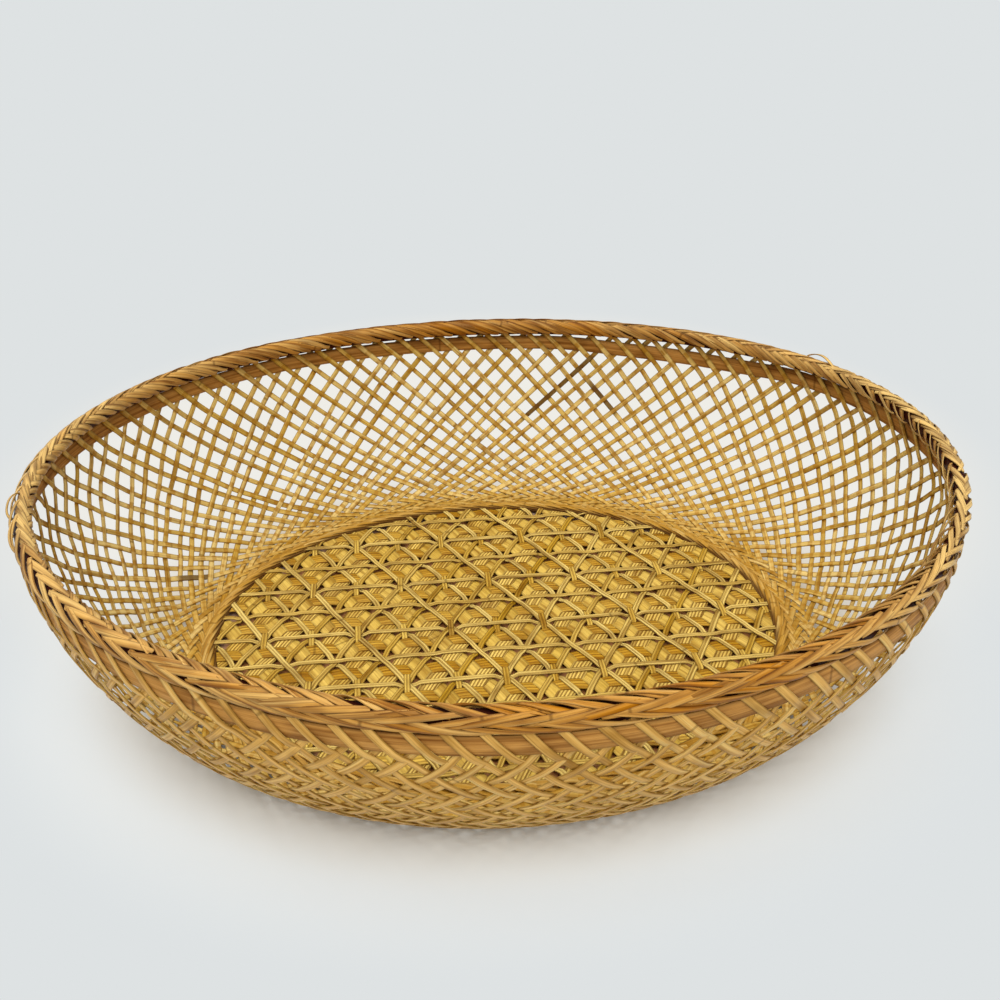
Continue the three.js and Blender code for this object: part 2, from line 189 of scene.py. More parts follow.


# Makes one mesh of many strips. Every point keeps its place on its own strip, its count of crossings and
# the strip's look: its tone, how dark it is painted by smoke and shade, and its side, from -1 on the inner
# face to 1 on the outer.
def strips_object(name, strips, material, slot, *nodes):
    faces = []
    total = 0
    for strip in strips:
        rows, corners = strip.rings.shape[:2]
        index = total + np.arange(rows * corners).reshape(rows, corners)
        after = np.roll(index, -1, 0) if strip.closed else index[1:]
        here = index if strip.closed else index[:-1]
        quads = np.stack([here, np.roll(here, -1, 1), np.roll(after, -1, 1), after], axis=-1)
        faces.extend(quads.reshape(-1, 4).tolist())
        if not strip.closed:
            faces.append(index[0].tolist()[::-1])
            faces.append(index[-1].tolist())
        total += rows * corners
    points = np.concatenate([strip.rings.reshape(-1, 3) for strip in strips])
    mesh = bpy.data.meshes.new(name)
    mesh.from_pydata((points * MM).tolist(), [], faces)
    for layer_name, kind, field, values in (
        ("strip_place", "FLOAT_VECTOR", "vector", [strip.place for strip in strips]),
        ("strip_look", "FLOAT_VECTOR", "vector", [strip.look for strip in strips]),
        ("strip_crossed", "FLOAT", "value", [strip.crossed for strip in strips]),
    ):
        layer = mesh.attributes.new(layer_name, kind, "POINT")
        flat = np.concatenate([value.ravel() for value in values])
        layer.data.foreach_set(field, flat.astype(np.float32))
    mesh.polygons.foreach_set("use_smooth", np.ones(len(mesh.polygons), bool))
    mesh.set_sharp_from_angle(angle=np.radians(60))
    mesh.materials.append(material)
    piece = bpy.data.objects.new(name, mesh)
    bpy.context.scene.collection.objects.link(piece)
    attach(piece, "root")
    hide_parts(*nodes)


# Materials

# The colour of smoked cane, also used for painted shade, and how strongly cane shines and in what tint
SMOKE_AND_SHADE = (0.045, 0.009, 0.005)
CANE_SHINE = 0.15
SHINE_TINT = (1.0, 0.86, 0.6)


def linear(code):
    parts = [int(code[i:i + 2], 16) / 255 for i in (0, 2, 4)]
    return tuple(part / 12.92 if part <= 0.04045 else ((part + 0.055) / 1.055) ** 2.4 for part in parts)


def add_node(tree, kind, **values):
    node = tree.nodes.new(kind)
    for key, value in values.items():
        setattr(node, key, value)
    return node


def maths(tree, operation, *values):
    node = add_node(tree, "ShaderNodeMath", operation=operation)
    for socket, value in zip(node.inputs, values):
        if isinstance(value, (int, float)):
            socket.default_value = value
        else:
            tree.links.new(value, socket)
    return node.outputs[0]


def ramp(tree, value, low, high, smooth=False):
    node = add_node(tree, "ShaderNodeMapRange")
    if smooth:
        node.interpolation_type = "SMOOTHSTEP"
    tree.links.new(value, node.inputs["Value"])
    node.inputs["From Min"].default_value = low
    node.inputs["From Max"].default_value = high
    return node.outputs[0]


def mixed(tree, share, first, second):
    mix = add_node(tree, "ShaderNodeMix", data_type="RGBA")
    tree.links.new(share, mix.inputs["Factor"])
    for socket, colour in ((mix.inputs["A"], first), (mix.inputs["B"], second)):
        if isinstance(colour, tuple):
            socket.default_value = (*colour, 1)
        else:
            tree.links.new(colour, socket)
    return mix.outputs["Result"]


# Lengths of the fibres, streaks and patches along a strip, the patches' width, and the distance between
# joints of the cane
FIBRE_LENGTH = 18.0
STREAK_LENGTH = 40.0
PATCH_LENGTH = 16.0
PATCH_WIDTH = 6.0
JOINT_SPACING = 180.0


# Fibres, split streaks, patches, joints, grooves and edges of the cane, for any strip. The edge mask is for
# painted shade, and the groove mask is for painted shade and the grooves' bump. Place is the point's place
# on its strip: along it and across it in millimetres, and its share of the half width.
# The strip's tone shifts the noise, so that strips of different tones have different marks.
def fibre_group():
    group = bpy.data.node_groups.new("Cane fibres", "ShaderNodeTree")
    for name, kind, value in (
        ("Place", "NodeSocketVector", None),
        ("Tone", "NodeSocketFloat", 0.5),
        ("Fibre width", "NodeSocketFloat", 0.25),
        ("Streak width", "NodeSocketFloat", 1.3),
        ("Groove spacing", "NodeSocketFloat", 1.2),
    ):
        socket = group.interface.new_socket(name, in_out="INPUT", socket_type=kind)
        if value is not None:
            socket.default_value = value
    for name in ("Fibres", "Streaks", "Patches", "Joints", "Grooves", "Edges"):
        group.interface.new_socket(name, in_out="OUTPUT", socket_type="NodeSocketFloat")
    entry = add_node(group, "NodeGroupInput")
    leave = add_node(group, "NodeGroupOutput")
    link = group.links.new
    parts = add_node(group, "ShaderNodeSeparateXYZ")
    link(entry.outputs["Place"], parts.inputs[0])
    shift = maths(group, "MULTIPLY", entry.outputs["Tone"], 731.0)

    def stretched_noise(width, length, detail, salt):
        vector = add_node(group, "ShaderNodeCombineXYZ")
        link(maths(group, "DIVIDE", parts.outputs["X"], length), vector.inputs[0])
        link(maths(group, "DIVIDE", parts.outputs["Y"], width), vector.inputs[1])
        link(maths(group, "ADD", shift, salt), vector.inputs[2])
        noise = add_node(group, "ShaderNodeTexNoise", noise_dimensions="3D")
        noise.inputs["Scale"].default_value = 1.0
        noise.inputs["Detail"].default_value = detail
        link(vector.outputs[0], noise.inputs["Vector"])
        return noise.outputs[0]

    link(stretched_noise(entry.outputs["Fibre width"], FIBRE_LENGTH, 3.0, 0.0), leave.inputs["Fibres"])
    link(stretched_noise(entry.outputs["Streak width"], STREAK_LENGTH, 1.0, 40.0), leave.inputs["Streaks"])
    link(stretched_noise(PATCH_WIDTH, PATCH_LENGTH, 2.0, 80.0), leave.inputs["Patches"])

    # A joint of the cane crosses the strip as a thin line, at even distances.
    shifted = maths(group, "ADD", parts.outputs["X"], shift)
    from_joint = maths(group, "PINGPONG", shifted, JOINT_SPACING / 2)
    link(ramp(group, from_joint, 0.8, 0.1, smooth=True), leave.inputs["Joints"])

    # Grooves run lengthwise at even distances.
    half_spacing = maths(group, "MULTIPLY", entry.outputs["Groove spacing"], 0.5)
    from_groove = maths(group, "PINGPONG", parts.outputs["Y"], half_spacing)
    groove_share = maths(group, "DIVIDE", from_groove, half_spacing)
    link(ramp(group, groove_share, 0.7, 0.1, smooth=True), leave.inputs["Grooves"])
    from_middle = maths(group, "ABSOLUTE", parts.outputs["Z"])
    link(ramp(group, from_middle, 0.6, 1.0, smooth=True), leave.inputs["Edges"])
    return group


cane_fibres = fibre_group()


# A split cane finish. Pale, middle and deep are the cane's own spread of colour, and skin is the colour of
# the outward face. Crossing is painted shade: the colour where another strip lies behind, as less light
# comes through. Grooves and edges say how much darker those are painted, as painted shade, and ridges is
# how high the fibres stand.
def cane_material(name, pale, middle, deep, skin=None, crossing=None, fibre_width=0.3, streak_width=1.2,
                  grooves=0.0, groove_spacing=1.2, edges=0.45, ridges=0.15, roughness=0.42):
    material = bpy.data.materials.new(name)
    material.use_nodes = True
    tree = material.node_tree
    link = tree.links.new
    shader = tree.nodes["Principled BSDF"]
    shader.inputs["Specular Tint"].default_value = (*SHINE_TINT, 1)
    place = add_node(tree, "ShaderNodeAttribute", attribute_name="strip_place")
    look = add_node(tree, "ShaderNodeAttribute", attribute_name="strip_look")
    looks = add_node(tree, "ShaderNodeSeparateXYZ")
    link(look.outputs["Vector"], looks.inputs[0])
    tone, smoke_and_shade, side = looks.outputs
    fibres = add_node(tree, "ShaderNodeGroup", node_tree=cane_fibres)
    fibres.inputs["Fibre width"].default_value = fibre_width
    fibres.inputs["Streak width"].default_value = streak_width
    fibres.inputs["Groove spacing"].default_value = groove_spacing
    link(place.outputs["Vector"], fibres.inputs["Place"])
    link(tone, fibres.inputs["Tone"])

    darkest = tuple(0.4 * part for part in deep)
    colour = mixed(tree, tone, pale, middle)
    if crossing:
        count = add_node(tree, "ShaderNodeAttribute", attribute_name="strip_crossed")
        from_crossing = maths(tree, "PINGPONG", count.outputs["Fac"], 0.5)
        backed_shade = maths(tree, "MULTIPLY", ramp(tree, from_crossing, 0.26, 0.14, smooth=True), 0.75)
        # Low on the wall the strips lie close together, and the crossing colour is painted there too as
        # shade.
        stacked = maths(tree, "MULTIPLY", ramp(tree, count.outputs["Fac"], 21, 9, smooth=True), 0.5)
        colour = mixed(tree, maths(tree, "MAXIMUM", backed_shade, stacked), colour, crossing)
    if skin:
        colour = mixed(tree, ramp(tree, side, 0.2, 0.6), colour, skin)
    colour = mixed(tree, ramp(tree, fibres.outputs["Patches"], 0.48, 0.85), colour, deep)
    colour = mixed(tree, ramp(tree, fibres.outputs["Streaks"], 0.48, 0.9), colour, deep)
    # The deepest strips have the fewest pale streaks.
    pale_streaks = ramp(tree, fibres.outputs["Streaks"], 0.5, 0.1)
    colour = mixed(tree, maths(tree, "MULTIPLY", pale_streaks, ramp(tree, tone, 1.3, 0.3)), colour, pale)
    colour = mixed(tree, ramp(tree, fibres.outputs["Fibres"], 0.5, 0.95), colour, deep)
    # Painted shade darkens the grooves and the strips' edges. Joints are the cane's own dark lines.
    if grooves:
        colour = mixed(tree, maths(tree, "MULTIPLY", fibres.outputs["Grooves"], grooves), colour, deep)
    for mark, share in (("Edges", edges), ("Joints", 0.5)):
        colour = mixed(tree, maths(tree, "MULTIPLY", fibres.outputs[mark], share), colour, darkest)
    # Real smoke and painted shade darken the colour towards one dark brown.
    colour = mixed(tree, smoke_and_shade, colour, SMOKE_AND_SHADE)
    link(colour, shader.inputs["Base Color"])
    # Smoked cane, and cane painted in shade, shines less.
    shine = maths(tree, "MULTIPLY", ramp(tree, smoke_and_shade, 1.2, 0.0), CANE_SHINE)
    link(shine, shader.inputs["Specular IOR Level"])
    fibre_roughness = maths(tree, "MULTIPLY_ADD", fibres.outputs["Fibres"], 0.25, roughness - 0.1)
    link(fibre_roughness, shader.inputs["Roughness"])
    bump = add_node(tree, "ShaderNodeBump")
    bump.inputs["Strength"].default_value = 0.7
    bump.inputs["Distance"].default_value = ridges * MM
    height = fibres.outputs["Fibres"]
    if grooves:
        height = maths(tree, "SUBTRACT", height, fibres.outputs["Grooves"])
    link(height, bump.inputs["Height"])
    link(bump.outputs[0], shader.inputs["Normal"])
    return material


wall_cane = cane_material(
    "wall_cane", linear("E6CA80"), linear("CCA648"), linear("885A0C"), skin=linear("DAAA5A"),
    crossing=linear("B07C20"))
band_cane = cane_material(
    "band_cane", linear("CC9852"), linear("A66C1E"), linear("683602"), fibre_width=0.22, streak_width=1.2,
    edges=0.3, ridges=0.2, roughness=0.5)
plait_cane = cane_material(
    "plait_cane", linear("E6C278"), linear("B87400"), linear("5A2200"), fibre_width=0.35, edges=0.5,
    roughness=0.34)
mat_plain_cane = cane_material(
    "mat_plain_cane", linear("DCBA5C"), linear("C0982A"), linear("805200"), fibre_width=0.4,
    streak_width=1.6, edges=0.4, ridges=0.25)
mat_ribbed_cane = cane_material(
    "mat_ribbed_cane", linear("ECCA6A"), linear("CA9C28"), linear("704200"), grooves=0.75,
    groove_spacing=1.25, edges=0.4, ridges=0.3)
mat_lined_cane = cane_material(
    "mat_lined_cane", linear("DEB64E"), linear("B88616"), linear("744400"), grooves=0.5,
    groove_spacing=1.6, edges=0.45, ridges=0.25)
mat_narrow_cane = cane_material(
    "mat_narrow_cane", linear("E6CA76"), linear("BA9024"), linear("704600"), grooves=0.4, edges=0.4,
    ridges=0.2)
mat_tie_cane = cane_material(
    "mat_tie_cane", linear("E0BE5C"), linear("B88A1C"), linear("704200"), grooves=0.4, edges=0.45,
    ridges=0.2)


# Wall surface

# The wall's profile from the floor's edge to just above the rim, by how many strips of the other lay a
# strip has crossed since it touched the floor's edge.
def wall_profile():
    bundle_path = np.sqrt((MEAN_RADIUS + BUNDLE_RUN) ** 2 - TANGENT_RADIUS ** 2)
    flat_path = np.linspace(0, bundle_path, 160, endpoint=False)
    flat_run = np.hypot(TANGENT_RADIUS, flat_path) - MEAN_RADIUS
    share = np.linspace(0, 1, 400)[:, None]
    foot = np.array([BUNDLE_RUN, 0])
    rim = np.array([MEAN_RUN, WALL_RISE])
    foot_way = np.array([np.cos(FOOT_ANGLE), np.sin(FOOT_ANGLE)])
    rim_way = np.array([np.cos(RIM_ANGLE), np.sin(RIM_ANGLE)])
    low_pull = foot + FOOT_REACH * foot_way
    high_pull = rim - RIM_REACH * rim_way
    curve = ((1 - share) ** 3 * foot + 3 * (1 - share) ** 2 * share * low_pull
             + 3 * (1 - share) * share ** 2 * high_pull + share ** 3 * rim)
    above = rim + np.linspace(0.2, 4, 20)[:, None] * rim_way
    run, rise = np.concatenate([np.stack([flat_run, 0 * flat_run], 1), curve, above]).T
    # A split strip doesn't fold at the edge of the bundle, so the corner there is softened.
    length = np.concatenate([[0], np.cumsum(np.hypot(np.diff(run), np.diff(rise)))])
    even = np.arange(0, length[-1], 0.2)
    reach = 15
    soft = np.exp(-0.5 * (np.arange(-reach, reach + 1) / 7) ** 2)
    padded = np.pad(np.interp(even, length, rise), reach, mode="reflect", reflect_type="odd")
    rise = np.interp(length, even, np.convolve(padded, soft / soft.sum(), mode="valid"))
    # In the bundle a strip is straight. Further out it slants as that same line would if the wall lay flat.
    path = np.append(flat_path, bundle_path)
    step = np.hypot(np.diff(run), np.diff(rise))
    radius = MEAN_RADIUS + (run[1:] + run[:-1]) / 2
    swept = step * TANGENT_RADIUS / (radius * np.sqrt(radius ** 2 - TANGENT_RADIUS ** 2))
    swept[:len(flat_path)] = np.diff(np.arctan(path / TANGENT_RADIUS))
    climb = np.cumsum(np.hypot(step, swept * radius)[len(flat_path):])
    return {
        "run": run,
        "rise": rise,
        "crossed": 2 / CELL * np.concatenate([[0], np.cumsum(swept)]),
        "path": np.concatenate([path, bundle_path + climb]),
        "slope": unit(np.stack([np.gradient(run), np.gradient(rise)], 1)),
    }


profile = wall_profile()


def profile_at(key, wanted):
    return np.interp(wanted, profile["crossed"], profile[key])


def crossed_at_rise(rise):
    return np.interp(rise, profile["rise"], profile["crossed"])


# Equal angles crowd the strips at the ends of an oval, so they are moved towards an even spacing.
def evened(angle):
    return angle + STRIP_EVENING * np.sin(2 * angle)


# Point and outward way of the wall's middle surface
def wall_frame(angle, crossed):
    angle = evened(angle)
    run = profile_at("run", crossed)
    rise = profile_at("rise", crossed)
    out_slope = np.interp(crossed, profile["crossed"], profile["slope"][:, 0])
    up_slope = np.interp(crossed, profile["crossed"], profile["slope"][:, 1])
    half = FLOOR_HALF + HALF_RUN * (run / MEAN_RUN)[..., None]
    cos = np.cos(angle)
    sin = np.sin(angle)
    lift = RIM_END_RISE / WALL_RISE * np.cos(2 * angle)
    turn_lift = -2 * RIM_END_RISE / WALL_RISE * np.sin(2 * angle)
    point = np.stack([half[..., 0] * cos, half[..., 1] * sin, BASE_MIDDLE + rise * (1 + lift)], -1)
    along = np.stack([-half[..., 0] * sin, half[..., 1] * cos, rise * turn_lift], -1)
    out_way = out_slope[..., None] * HALF_RUN / MEAN_RUN
    climb = np.stack([out_way[..., 0] * cos, out_way[..., 1] * sin, up_slope * (1 + lift)], -1)
    return point, unit(np.cross(along, climb))


# Woven wall

RIM_CROSSED = crossed_at_rise(WALL_RISE)
BAND_CROSSED = crossed_at_rise(WALL_RISE - BAND_HEIGHT)
# The weave starts at this crossing, just outside the floor's edge.
FIRST_WOVEN = 7
# How far a strip stands off the wall's middle surface where it goes over another, and beside the band
WEAVE_DEPTH = 0.34
BAND_SEAT = 0.95
# Neighbouring strips lie on one another for this far to either side of where they touch the floor.
STACK_REACH = 23.0
# The strips are full width round the base, and are split a little narrower up the wall. Those along the
# front are wider by a share.
NARROWED_WIDTH = 2.15
FRONT_WIDENING = 0.12
# The painted crossing shade takes fewer crossings than this for this many, so that the base bundle is of
# one colour.
BUNDLE_COUNT = 10
# Blackened lengths of strips: strip number, and the crossings from and to which it is dark
BLACKENED = ((39, -33.8, -27.9), (6, 29.0, 31.3), (37, 17.2, 19.8))


# How far a strip's middle lies outward of the wall's middle surface, by crossings counted from where it
# touches the floor's edge: below zero in its outer half and above zero in its inner half. It goes over
# two strips and under two.
def strip_depth(crossed):
    count = np.abs(crossed)
    lay = -np.sign(crossed)
    from_floor = np.sign(crossed) * profile_at("path", count)
    stacked = -BASE_SPREAD / 2 * np.clip(from_floor / STACK_REACH, -1, 1)
    leaves = ease(FIRST_WOVEN - 1.5, FIRST_WOVEN + 1, count)
    over = np.clip(1.5 * np.cos(np.pi / 2 * (count - FIRST_WOVEN - 0.5)), -1, 1)
    woven = WEAVE_DEPTH * over * ease(FIRST_WOVEN - 0.6, FIRST_WOVEN + 0.2, count)
    seated = ease(BAND_CROSSED - 0.9, BAND_CROSSED + 0.1, count)
    return stacked * (1 - leaves) + lay * (woven * (1 - seated) + BAND_SEAT * seated)


# One strip from rim to rim. It sways a little on its way, and no two are of quite the same width.
def wall_strip(number, touch_angle):
    end = RIM_CROSSED + 0.6
    crossed = np.linspace(-end, end, 2 * int(end * 3) + 1)
    count = np.abs(crossed)
    sway = 0.07 * np.sin(0.19 * crossed + chance.uniform(0, 6.3))
    sway = sway + 0.05 * np.sin(0.43 * crossed + chance.uniform(0, 6.3))
    loose = ease(FIRST_WOVEN, FIRST_WOVEN + 8, count)
    shift = (chance.normal(0, 0.07) + sway) * CELL * loose
    angle = touch_angle + crossed * CELL / 2 + shift
    point, outward = wall_frame(angle, count)
    point = point + outward * strip_depth(crossed)[:, None]
    full = ease(30, 14, count) + 0.4 * ease(BAND_CROSSED - 8, BAND_CROSSED, count)
    width = (NARROWED_WIDTH + (STRIP_WIDTH - NARROWED_WIDTH) * full) * chance.uniform(0.88, 1.08)
    width = width * (1 + FRONT_WIDENING * hump(angle, FRONT, 55))
    # The innermost edge of the base bundle is painted dark where it meets the floor mat, as painted shade
    # under the ring.
    smoke_and_shade = 0.75 * ease(5, 2.5, count)
    for dark_number, first, last in BLACKENED:
        if dark_number == number:
            smoke_and_shade = smoke_and_shade + 0.75 * ease(first - 0.7, first, crossed) * ease(last + 0.7, last, crossed)
    shade_count = np.maximum(count, BUNDLE_COUNT)
    return Strip(point, outward, width, STRIP_THICKNESS, smoke_and_shade=smoke_and_shade, crossed=shade_count)


# Four pieces of neighbouring strips, as the solids have four fans in each lay
def add_wall():
    root_sweep = np.arccos(TANGENT_RADIUS / (MEAN_RADIUS + BUNDLE_RUN))
    per_fan = STRIP_COUNT // FANS
    for fan in range(FANS):
        strips = []
        for number in range(fan * per_fan, (fan + 1) * per_fan):
            strips.append(wall_strip(number, -np.pi / 4 + (number + 0.5) * CELL + root_sweep))
        strips_object(
            f"wall_strips_{fan + 1}", strips, wall_cane, "wall_strips",
            f"wall_outer_strips_{fan + 1}", f"wall_inner_strips_{fan + 1}")


# Rim band

BAND_THICKNESS = 0.9


# The band sags away from the plait at the back, most of all on the right.
def band_sag(angle):
    return 2.4 * hump(angle, 53, 17) + 0.5 * hump(angle, 94, 22)


def add_band():
    angle = np.linspace(0, 2 * np.pi, 240, endpoint=False)
    middle_rise = WALL_RISE + 0.5 - 0.5 * BAND_HEIGHT - band_sag(evened(angle))
    point, outward = wall_frame(angle, crossed_at_rise(middle_rise))
    hoop = Strip(point, outward, BAND_HEIGHT, BAND_THICKNESS, closed=True, tone=0.4)
    strips_object("rim_hoop", [hoop], band_cane, "rim_band", "rim_band")


# Rim plait

# Half the width and height of the plait's section, on which the strands lie
PLAIT_CORE = np.array([2.7, 3.5])
STRAND_WIDTH = 2.5
SPRUNG_WIDTH = 1.4
# Width and thickness of the ring of strip ends inside the strands, which is painted fully dark as shade
CORE_SIZE = (4.6, 3.6)


# Point and facing way at an angle round the rim and a turn round the plait's section, raised this far off
# it. A turn of 0 is outward, 90 degrees is up and 180 degrees is inward. The section is a rounded box.
def plait_frame(angle, turn, raised):
    angle = evened(angle)
    level = WALL_HEIGHT + SEAT_GAP + PLAIT_HEIGHT / 2 + RIM_END_RISE * np.cos(2 * angle)
    cos = np.cos(angle)
    sin = np.sin(angle)
    out = unit(np.stack([cos / PLAIT_HALF[0], sin / PLAIT_HALF[1], 0 * angle], -1))
    up = np.array([0, 0, 1.0])
    middle = np.stack([PLAIT_HALF[0] * cos, PLAIT_HALF[1] * sin, level], -1)
    way = np.stack([np.cos(turn), np.sin(turn)], -1)
    place = (PLAIT_CORE + raised[:, None]) * np.sign(way) * np.abs(way) ** 0.85
    facing = np.sign(way) * np.abs(way) ** 1.15 / PLAIT_CORE
    # The plait lies over inward at the left end.
    lean = np.radians(32) * hump(angle, LEFT_END, 42)
    side_way = out * np.cos(lean)[:, None] + up * np.sin(lean)[:, None]
    top_way = up * np.cos(lean)[:, None] - out * np.sin(lean)[:, None]
    point = middle + side_way * place[:, :1] + top_way * place[:, 1:]
    return point, unit(side_way * facing[:, :1] + top_way * facing[:, 1:])


# A strand of the plait is the flat end of a wall strip. It comes out from under its neighbours, runs on
# round the rim while it turns over the plait, and goes under the next row. Start is its angle on the rim,
# reach is how many strips further it ends, and turns are in degrees. Arch is how far it stands out at its
# middle, lift raises all of it, and roll tips it on edge.
def plait_strand(start, reach, first_turn, last_turn, arch, lift, width, smoke_and_shade=0.0, tone=None, roll=0.1):
    share = np.linspace(0, 1, 17)
    turn = np.radians(first_turn + (last_turn - first_turn) * share)
    raised = lift - 0.3 + (0.5 + arch) * np.sin(np.pi * share) ** 0.6
    point, face = plait_frame(start + share * reach * CELL, turn, raised)
    heading = unit(np.gradient(point, axis=0))
    tilted = face + roll * np.sign(last_turn - first_turn) * np.cross(heading, face)
    taper = 0.55 + 0.45 * np.sin(np.pi * np.clip(share, 0.04, 0.96)) ** 0.5
    return Strip(point, tilted, width * taper, STRIP_THICKNESS, smoke_and_shade=smoke_and_shade, tone=tone)


# Where the crown and inner rows meet, as a turn round the plait's section. The plait leans inward at
# the right end, and outward at the front and back, most of all at the front.
def plait_seam(angle):
    front = hump(angle, FRONT, 48)
    return 97.5 + 21 * np.cos(angle) + 21.5 * np.cos(2 * angle) - 4 * np.sin(angle) - 28 * front


# Strips that have sprung out of the plait: degrees round the rim, reach along it in cells, first and last
# turn, and how far each stands out
SPRUNG_STRIPS = (
    (-174, 1.2, 40, -20, 2.0),
    (-168, 1.6, 20, -40, 0.9),
    (23, 1.6, 100, 62, 2.2),
    (-46, 0.7, 5, -70, 1.0),
)


# The three rows of the plait, over a core of strip ends painted dark as shade. The strands are longer and
# deeper in colour at the front and back than at the ends of the basket, and at the back they are darkened
# with painted shade. At the left end the outer strands are loose. At the right end the strands are finer,
# and the inner ones stand on edge over gaps where the wall strips come up. Half of the strands lie sunk
# between the others, but not everywhere, and the sunk strands of the outer and crown rows are darkened with
# painted shade.
def add_plait():
    outer = []
    crown = []
    inner = []
    for index in range(STRIP_COUNT):
        start = index * CELL
        seam = plait_seam(start)
        longer = np.sin(start) ** 2
        loose = hump(start, -172, 14)
        gaping = hump(start, -150, 14)
        on_edge = hump(start, -19, 32)
        front = hump(start, FRONT, 48)
        # Strands at the back are darkened with painted shade.
        back_shade = 0.13 * hump(start, BACK, 60)
        filled = chance.random() > 0.95 * hump(start, -75, 55)
        finer = STRAND_WIDTH - 0.7 * on_edge - 0.5 * front
        # Each row's reach, first and last turn, arch and width, and whether sunk strands lie between
        for row, reach, first, last, arch, width, sunk in (
            (outer, 1.6 + 1.2 * longer + 0.5 * on_edge, seam - 44 + 12 * longer, -50,
             0.3 * longer + 0.3 * loose, finer - 0.7 * loose, filled and loose + gaping < 0.5),
            (crown, 1.5 + 1.0 * longer, seam - 66 + 10 * longer, seam + 5 + 4 * longer,
             -0.15 + 0.5 * longer, finer, filled and gaping < 0.5),
            (inner, 1.0 + 1.4 * longer + 0.3 * on_edge, 205 + 8 * on_edge, seam - 5,
             0.35 * longer + 1.2 * on_edge, STRAND_WIDTH - 1.4 * on_edge - 0.3 * front, on_edge < 0.5),
        ):
            for half in range(1 + sunk):
                # Along the front every other inner strand starts high up.
                higher = 50 * front * (row is inner and half == 0)
                tone = (chance.uniform(0.05, 0.4) + 0.6 * longer) * (1 - 0.7 * on_edge)
                row.append(plait_strand(
                    start + (chance.normal(0, 0.06) + 0.5 * half) * CELL,
                    reach * chance.uniform(0.92, 1.12),
                    first - higher + chance.normal(0, 4),
                    last + chance.normal(0, 4),
                    arch * chance.uniform(0.6, 1.4),
                    -0.1 * half if row is inner else -0.25 * half,
                    width * chance.uniform(0.82, 1.08),
                    smoke_and_shade=back_shade if row is inner else back_shade + 0.25 * half,
                    tone=tone,
                    roll=0.1 + 0.5 * on_edge * (row is inner)))
        # Steep strands at the right end, and low ones on the inner side of the front, cover the core.
        if on_edge > 0.3:
            inner.append(plait_strand(
                start + 0.4 * CELL, 0.35, 215, seam - 8, -0.3, -0.3, STRAND_WIDTH, tone=0.5))
        if front > 0.15:
            inner.append(plait_strand(
                start - 0.9 * CELL, 1.3, 212, 138, 0.0, -0.05, STRAND_WIDTH + 0.1, tone=0.5))
    for degrees, reach, first, last, arch in SPRUNG_STRIPS:
        outer.append(plait_strand(np.radians(degrees), reach, first, last, arch, 0.0, SPRUNG_WIDTH))
    angle = np.linspace(0, 2 * np.pi, 240, endpoint=False)
    middle, face = plait_frame(angle, 0 * angle, -PLAIT_CORE[0] + 0 * angle)
    # The core of strip ends is painted fully dark, as shade between the strands.
    crown.append(Strip(middle, face, *CORE_SIZE, closed=True, tone=1.0, smoke_and_shade=1.0))
    for name, strands in (("outer", outer), ("crown", crown), ("inner", inner)):
        strips_object(f"plait_{name}", strands, plait_cane, "plait", f"plait_{name}_row")


# Floor mat

# Heights of the strips' middles above the table: narrow strips at their crossings and over wide strips,
# wide strips and how far they weave up and down, and ties where they dive under
MAT_LEVELS = (2.0, 2.45, 2.9, 3.35)
MAT_OVER_WIDE = 3.3
MAT_WIDE_MIDDLE = 2.5
MAT_WIDE_DEPTH = 0.26
MAT_UNDER = 1.75
# Strips shorter than this at the edge of the mat are left out.
SHORTEST_MAT_STRIP = 12


# A point's place in the mat: its falling line, its rising line and its row. Crossings of all the narrow
# strips are where these are whole numbers, and wide strips run midway.
def mat_place(x, y):
    across = (x - MAT_SHIFT[0]) / MAT_TIE
    row = (y - MAT_SHIFT[1]) / MAT_ROW
    return across + row / 2, across - row / 2, row


def is_odd(number):
    return np.round(number).astype(int) % 2 == 1


# Level of a narrow strip at a crossing. In even rows a crossing is either bound by its tie, with the long
# strip lowest, or open like a star, with the long strip on top. Odd rows have no tie.
def crossing_level(kind, falling, rising, row):
    upper_falling = is_odd(falling)
    tied_row = ~is_odd(row)
    if kind == "long":
        level = np.where(tied_row, np.where(upper_falling, 0, 3), np.where(upper_falling, 1, 2))
    elif kind == "falling":
        level = np.where(upper_falling, 2, 0)
    else:
        level = np.where(tied_row, 1, np.where(is_odd(rising), 1, 0))
    return np.array(MAT_LEVELS)[level]


# Height of a narrow strip: its level at each crossing, and over the wide strips between crossings
def narrow_height(kind, x, y):
    falling, rising, row = mat_place(x, y)
    along = {"long": falling, "falling": rising, "rising": falling}[kind]
    nearest = np.round(along)
    if kind == "long":
        at = crossing_level(kind, nearest, nearest - row, row)
    elif kind == "falling":
        at = crossing_level(kind, falling, nearest, falling - nearest)
    else:
        at = crossing_level(kind, nearest, rising, nearest - rising)
    return at + (MAT_OVER_WIDE - at) * ease(0.1, 0.28, np.abs(along - nearest))


# A wide strip goes over the wide strips of one other direction and under those of the third.
def wide_height(kind, x, y):
    falling, rising, row = mat_place(x, y)
    phase = {"long": rising, "falling": row, "rising": falling}[kind]
    return MAT_WIDE_MIDDLE - MAT_WIDE_DEPTH * np.clip(1.4 * np.cos(2 * np.pi * phase), -1, 1)


# In even rows a tie passes over the slanting strips, and over the long strip too where it binds the
# crossing. Between even rows it dives under.
def tie_height(x, y):
    falling, rising, row = mat_place(x, y)
    nearest = 2 * np.round(row / 2)
    away = np.abs(row - nearest) * MAT_ROW
    bound = is_odd(np.round((falling + rising) / 2) + nearest / 2)
    top = np.where(bound, MAT_LEVELS[3], MAT_LEVELS[2])
    return top + (MAT_UNDER - top) * ease(4.0, 5.6, away)


